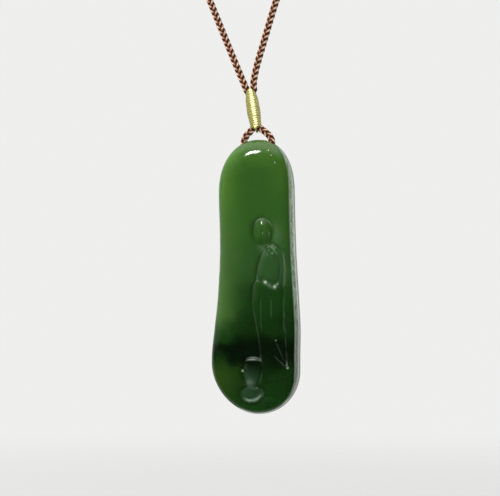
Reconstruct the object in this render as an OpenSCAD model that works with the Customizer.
// A carved jade pendant on a braided neck cord. The cord's ends are bound together above the
// stone with silk thread and pass through a curved tunnel in the top of the stone.
// Millimetres. The front faces -Y and +Z is up. The origin is the middle of the cord where it
// lies on the nape of the neck, the highest point of the loop.

/* [Stone] */
// Height of the stone from the top of its dome to its foot
stone_h = 68.3; // [66:0.1:74]
// Width across the upper part, which the outline table is a share of
stone_w = 18.8; // [18:0.1:21]
// Thickness from the front face to the back face
stone_t = 9; // [8:0.1:10.5]
// Squareness of the cross section, where 2 is an ellipse
stone_square = 4; // [3:0.1:5]

/* [Carving] */
// Depth of the groove round the figure
carve_d = 0.7; // [0.3:0.05:1]
// Width over which the ground slopes down to the figure's outline
carve_out = 1.4; // [1:0.1:2]
// Width over which the figure rounds over inside its outline
carve_in = 1.9; // [1.2:0.1:3]

/* [Cord] */
// Diameter of the braided cord
cord_d = 1.7; // [1.5:0.05:1.8]
// Diameter of the tunnel that the cord passes through in the stone
tunnel_d = 2.1; // [2.05:0.05:2.4]
// Diameter of the round countersink at each mouth of the tunnel
mouth_d = 3.1; // [3:0.05:3.3]
// Distance between the centres of the two mouths
mouth_gap = 7.2; // [7:0.1:7.6]
// Depth of the mouths' centres below the top of the dome
mouth_down = 0.9; // [0.8:0.05:1]

/* [Whipping] */
// Length of the silk thread binding
whip_l = 9.8; // [7:0.1:12]
// Diameter at the middle of the binding
whip_d = 3.4; // [3.2:0.05:3.8]
// Diameter at the two ends of the binding
whip_end_d = 2.5; // [2.4:0.05:3]
// Lean of the binding to the left, in degrees
whip_lean = 9; // [0:0.5:12]

/* [Hidden] */
$fn = 48;

// Middle of the line between the two mouths, which the stone swings about
STONE_AT = [0, -125, -255];
// Middle of the binding's lower face, seen from STONE_AT
WHIP_FOOT = [-0.4, 0, 3.8];
// How far the stone's middle sits in front of that line, so that the carved stone hangs straight
BALANCE = 0.036;

// The neck cord's route from the binding up each side to the nape, points in order going up.
// The two sides differ low down, where the stone hangs a little to one side of the neck.
ROUTE_RIGHT = [
    [-1, -124.8, -238.3],
    [0.93, -124.3, -230.5],
    [8, -122, -207],
    [25, -112, -156],
    [44, -92, -108],
    [58, -62, -66],
    [57, -30, -30],
    [36, -7, -7]
];
ROUTE_LEFT = [
    [-7.52, -124.3, -230.5],
    [-17.3, -122, -207],
    [-39, -112, -156],
    [-53, -92, -108],
    [-60, -62, -66],
    [-57, -30, -30],
    [-36, -7, -7]
];
NAPE = [0, 0, 0];

// Outline of the stone. Columns: share of the height down from the top, and the reach to the
// left and to the right as shares of half the stone's width.
OUTLINE = [
    [0, 1.03, 0.97],
    [0.2, 1.03, 0.97],
    [0.41, 0.995, 1.01],
    [0.58, 1.055, 1.08],
    [0.69, 1.14, 1.12],
    [0.79, 1.215, 1.11],
    [1, 1.21, 1.11]
];
// Height of the rounded ends. Columns: of the outline at the left, at the right, of the thickness.
TOP_CAP = [13.5, 13.5, 9];
FOOT_CAP = [13, 11, 10];
// Power of the curve of each rounded end, same columns
TOP_POWER = [2.1, 2.3, 2.2];
FOOT_POWER = [1.9, 2.1, 2.2];

// Forms of the standing figure on the front face. Columns: place across, place down from the
// top, half width, half height, turn in degrees, squareness.
FIGURE = [
    [2.0, 23.3, 2.5, 3.5, -8, 2.1],
    [3.4, 27.2, 1.1, 1.3, 0, 2],
    [4.1, 32.2, 3.7, 6.0, 0, 2.3],
    [3.7, 40.5, 4.2, 6.5, 0, 3],
    [4.5, 49.0, 3.5, 6.6, 0, 3.5],
    [-0.8, 57.4, 2.3, 2.9, 0, 2.4],
    [-0.9, 60.4, 1.3, 1.9, 0, 2],
    [-0.9, 63.8, 2.9, 2.3, 0, 2]
];

// Rings and points of the stone's skin
CAP_RINGS = 9;
CAP_ZONE = 6;
BODY_STEPS = 66;
FRONT_STEPS = 44;
BACK_STEPS = 20;

// Steps of the swept cords
CORD_SIDES = 8;
NECK_STEPS = 4;
ARM_STEPS = 7;
BALL_STEPS = 3;
// Handles of each arm's curve: outward and down from the binding, and up from the mouth
ARM_SPREAD = 1.2;
ARM_FALL = 1;
ARM_RISE = 2;
// Gap between the round end of each arm and the bend inside the stone
BALL_GAP = 0.1;

cord_r = cord_d / 2;
bend_r = mouth_gap / 2;
whip_axis = [-sin(whip_lean), 0, cos(whip_lean)];
whip_across = [cos(whip_lean), 0, sin(whip_lean)];
whip_foot = STONE_AT + WHIP_FOOT;
whip_top = whip_foot + whip_l * whip_axis;
strand_gap = cord_d + 0.06;

function unit(v) = v / norm(v);
function last(list) = list[len(list) - 1];
function reverse(list) = [for (i = [len(list) - 1 : -1 : 0]) list[i]];

// Smooth curves

// Point on the curve through b and c, with a before them and d after them
function through(a, b, c, d, t) =
    0.5 * (2 * b + (c - a) * t + (2 * a - 5 * b + 4 * c - d) * t * t + (3 * b - a - 3 * c + d) * t * t * t);

// The points and steps of a smooth curve through a list of points, straight at both ends
function curve(points, steps) =
    let (p = concat([2 * points[0] - points[1]], points, [2 * last(points) - points[len(points) - 2]]))
    concat(
        [for (i = [1 : len(p) - 3], k = [0 : steps - 1]) through(p[i - 1], p[i], p[i + 1], p[i + 2], k / steps)],
        [last(points)]
    );

// Value of a table's column at t, read from the smooth curve through its rows
function slope(table, col, i) =
    let (lo = max(0, i - 1), hi = min(len(table) - 1, i + 1))
    (table[hi][col] - table[lo][col]) / (table[hi][0] - table[lo][0]);
function row_below(table, t, i = 0) = (i >= len(table) - 2 || t < table[i + 1][0]) ? i : row_below(table, t, i + 1);
function read(table, col, t) =
    let (
        i = row_below(table, t),
        gap = table[i + 1][0] - table[i][0],
        s = (t - table[i][0]) / gap,
        from_end = s * s * (3 - 2 * s)
    )
    table[i][col] * (1 - from_end) + table[i + 1][col] * from_end
    + gap * s * (1 - s) * (slope(table, col, i) * (1 - s) - slope(table, col, i + 1) * s);

// Swept tubes

// One ring of a tube, square to a direction
function ring(centre, along, r) =
    let (u = unit(cross(along, [0, 1, 0])), v = unit(cross(along, u)))
    [for (k = [0 : CORD_SIDES - 1]) centre + r * (cos(360 * k / CORD_SIDES) * u + sin(360 * k / CORD_SIDES) * v)];

// The direction of a path at each of its points, with set directions at the two ends
function directions(path, first, final) = [
    for (i = [0 : len(path) - 1])
        i == 0 ? first : i == len(path) - 1 ? final : unit(path[i + 1] - path[i - 1])
];

// A closed tube from rings of equal count
module skin(rings) {
    sides = len(rings[0]);
    points = [for (r = rings) each r];
    walls = [
        for (i = [0 : len(rings) - 2], k = [0 : sides - 1])
            let (a = i * sides + k, b = i * sides + (k + 1) % sides)
            each [[a, b, b + sides], [a, b + sides, a + sides]]
    ];
    start = [for (k = [sides - 1 : -1 : 0]) k];
    end = [for (k = [0 : sides - 1]) (len(rings) - 1) * sides + k];
    polyhedron(points = points, faces = concat(walls, [start, end]));
}

// The stone's skin

// Share of the full reach at a distance from a rounded end
function cap(from_end, height, power) =
    from_end >= height ? 1 : pow(1 - pow(1 - max(0, from_end) / height, power), 1 / power);
function ends(down, col) =
    cap(down, TOP_CAP[col], TOP_POWER[col]) * cap(stone_h - down, FOOT_CAP[col], FOOT_POWER[col]);
function reach_left(down) = stone_w / 2 * read(OUTLINE, 1, down / stone_h) * ends(down, 0);
function reach_right(down) = stone_w / 2 * read(OUTLINE, 2, down / stone_h) * ends(down, 1);
function half_thick(down) = stone_t / 2 * ends(down, 2);
function squareness(down) = 2.2 + (stone_square - 2.2) * pow(ends(down, 2), 2);

// Distance from a form's outline, negative inside it
function from_form(form, x, down) =
    let (
        dx = x - form[0],
        dz = down - form[1],
        u = abs(dx * cos(form[4]) + dz * sin(form[4])) / form[2],
        v = abs(dz * cos(form[4]) - dx * sin(form[4])) / form[3]
    )
    (pow(pow(u, form[5]) + pow(v, form[5]), 1 / form[5]) - 1) * min(form[2], form[3]);

// Depth of the carving at a place on the front face: deepest along the figure's outline,
// fading out to the polished ground and rising again to the figure's own surface
function carving(x, down) =
    let (
        d = min([for (form = FIGURE) from_form(form, x, down)]),
        t = d > 0 ? d / carve_out : -d / carve_in
    )
    carve_d * pow(1 - min(1, t), 2);

// One ring of the stone's skin, round from the left over the front and back along the rear
function stone_ring(down) =
    let (
        left = reach_left(down),
        right = reach_right(down),
        half = half_thick(down),
        n = squareness(down)
    )
    [
        for (k = [0 : FRONT_STEPS + BACK_STEPS - 1])
            let (
                front = k < FRONT_STEPS,
                share = front ? sin(180 * k / FRONT_STEPS - 90) : sin(90 - 180 * (k - FRONT_STEPS) / BACK_STEPS),
                x = share * (share < 0 ? left : right),
                depth = half * pow(max(0, 1 - pow(abs(share), n)), 1 / n)
            )
            [x, front ? carving(x, down) * sign(depth) - depth : depth, -down]
    ];

stone_downs = concat(
    [for (k = [1 : CAP_RINGS]) CAP_ZONE * (1 - cos(90 * k / CAP_RINGS))],
    [for (k = [1 : BODY_STEPS - 1]) CAP_ZONE + (stone_h - 2 * CAP_ZONE) * k / BODY_STEPS],
    [for (k = [CAP_RINGS : -1 : 1]) stone_h - CAP_ZONE * (1 - cos(90 * k / CAP_RINGS))]
);

// The stone without its tunnel, its top at the origin
module stone_blank() {
    sides = FRONT_STEPS + BACK_STEPS;
    count = len(stone_downs);
    points = concat([for (down = stone_downs) each stone_ring(down)], [[0, 0, 0], [0, 0, -stone_h]]);
    walls = [
        for (i = [0 : count - 2], k = [0 : sides - 1])
            let (a = i * sides + k, b = i * sides + (k + 1) % sides)
            each [[a, b, b + sides], [a, b + sides, a + sides]]
    ];
    top = [for (k = [0 : sides - 1]) [count * sides, (k + 1) % sides, k]];
    foot = [
        for (k = [0 : sides - 1])
            [count * sides + 1, (count - 1) * sides + k, (count - 1) * sides + (k + 1) % sides]
    ];
    polyhedron(points = points, faces = concat(walls, top, foot));
}

// Half a ring below the line between the mouths, from trim degrees past one mouth to trim
// degrees before the other
module half_ring(tube_r, trim) {
    rotate([90, 0, 0])
        rotate([0, 0, 180 + trim])
            rotate_extrude(angle = 180 - 2 * trim, $fn = 64)
                translate([bend_r, 0])
                    circle(r = tube_r);
}

// The carved stone with the cord's tunnel and its two rounded mouths
module jade_pendant() {
    color([0.13, 0.33, 0.11])
        translate(STONE_AT)
            difference() {
                translate([0, -BALANCE, mouth_down])
                    stone_blank();
                half_ring(tunnel_d / 2, 0);
                for (side = [-1, 1])
                    translate([side * bend_r, 0, 0])
                        sphere(d = mouth_d);
            }
}

// The cord's bend inside the stone
module loop_bend() {
    ball_trim = (cord_r + BALL_GAP) / bend_r * 180 / PI;
    color([0.42, 0.2, 0.11])
        translate(STONE_AT)
            half_ring(cord_r, ball_trim);
}

// One side of the small loop, from the binding down to a round end in the tunnel's mouth
module loop_arm(side) {
    from = whip_foot + side * strand_gap / 2 * whip_across;
    to = STONE_AT + [side * bend_r, 0, 0];
    lean_in = [-side * ARM_SPREAD, 0, ARM_FALL];
    path = [
        for (k = [0 : ARM_STEPS])
            let (t = k / ARM_STEPS, s = 1 - t)
            s * s * s * from + 3 * s * s * t * (from - lean_in) + 3 * s * t * t * (to + [0, 0, ARM_RISE]) + t * t * t * to
    ];
    along = directions(path, -whip_axis, [0, 0, -1]);
    tube = [for (k = [0 : ARM_STEPS]) ring(path[k], along[k], cord_r)];
    ball = [
        for (k = [1 : BALL_STEPS])
            let (a = 80 * k / BALL_STEPS)
            ring(to - [0, 0, cord_r * sin(a)], [0, 0, -1], cord_r * cos(a))
    ];
    color([0.42, 0.2, 0.11])
        skin(concat(tube, ball));
}

// The silk thread binding, a barrel a little narrower at its ends
module thread_whipping() {
    end_r = whip_end_d / 2;
    bulge = whip_d / 2 - end_r;
    profile = [for (k = [0 : 8]) [end_r + bulge * sin(180 * k / 8), whip_l * k / 8]];
    color([0.74, 0.72, 0.38])
        translate(whip_foot)
            rotate([0, -whip_lean, 0])
                rotate_extrude($fn = 64)
                    polygon(concat([[0, 0]], profile, [[0, whip_l]]));
}

// The neck loop, up one side from the binding, round the nape and down the other side
module neck_cord() {
    right_end = whip_top + strand_gap / 2 * whip_across;
    left_end = whip_top - strand_gap / 2 * whip_across;
    path = curve(concat([right_end], ROUTE_RIGHT, [NAPE], reverse(ROUTE_LEFT), [left_end]), NECK_STEPS);
    along = directions(path, whip_axis, -whip_axis);
    color([0.42, 0.2, 0.11])
        skin([for (i = [0 : len(path) - 1]) ring(path[i], along[i], cord_r)]);
}

jade_pendant();
loop_bend();
loop_arm(-1);  // loop_arm_left
loop_arm(1);  // loop_arm_right
thread_whipping();
neck_cord();
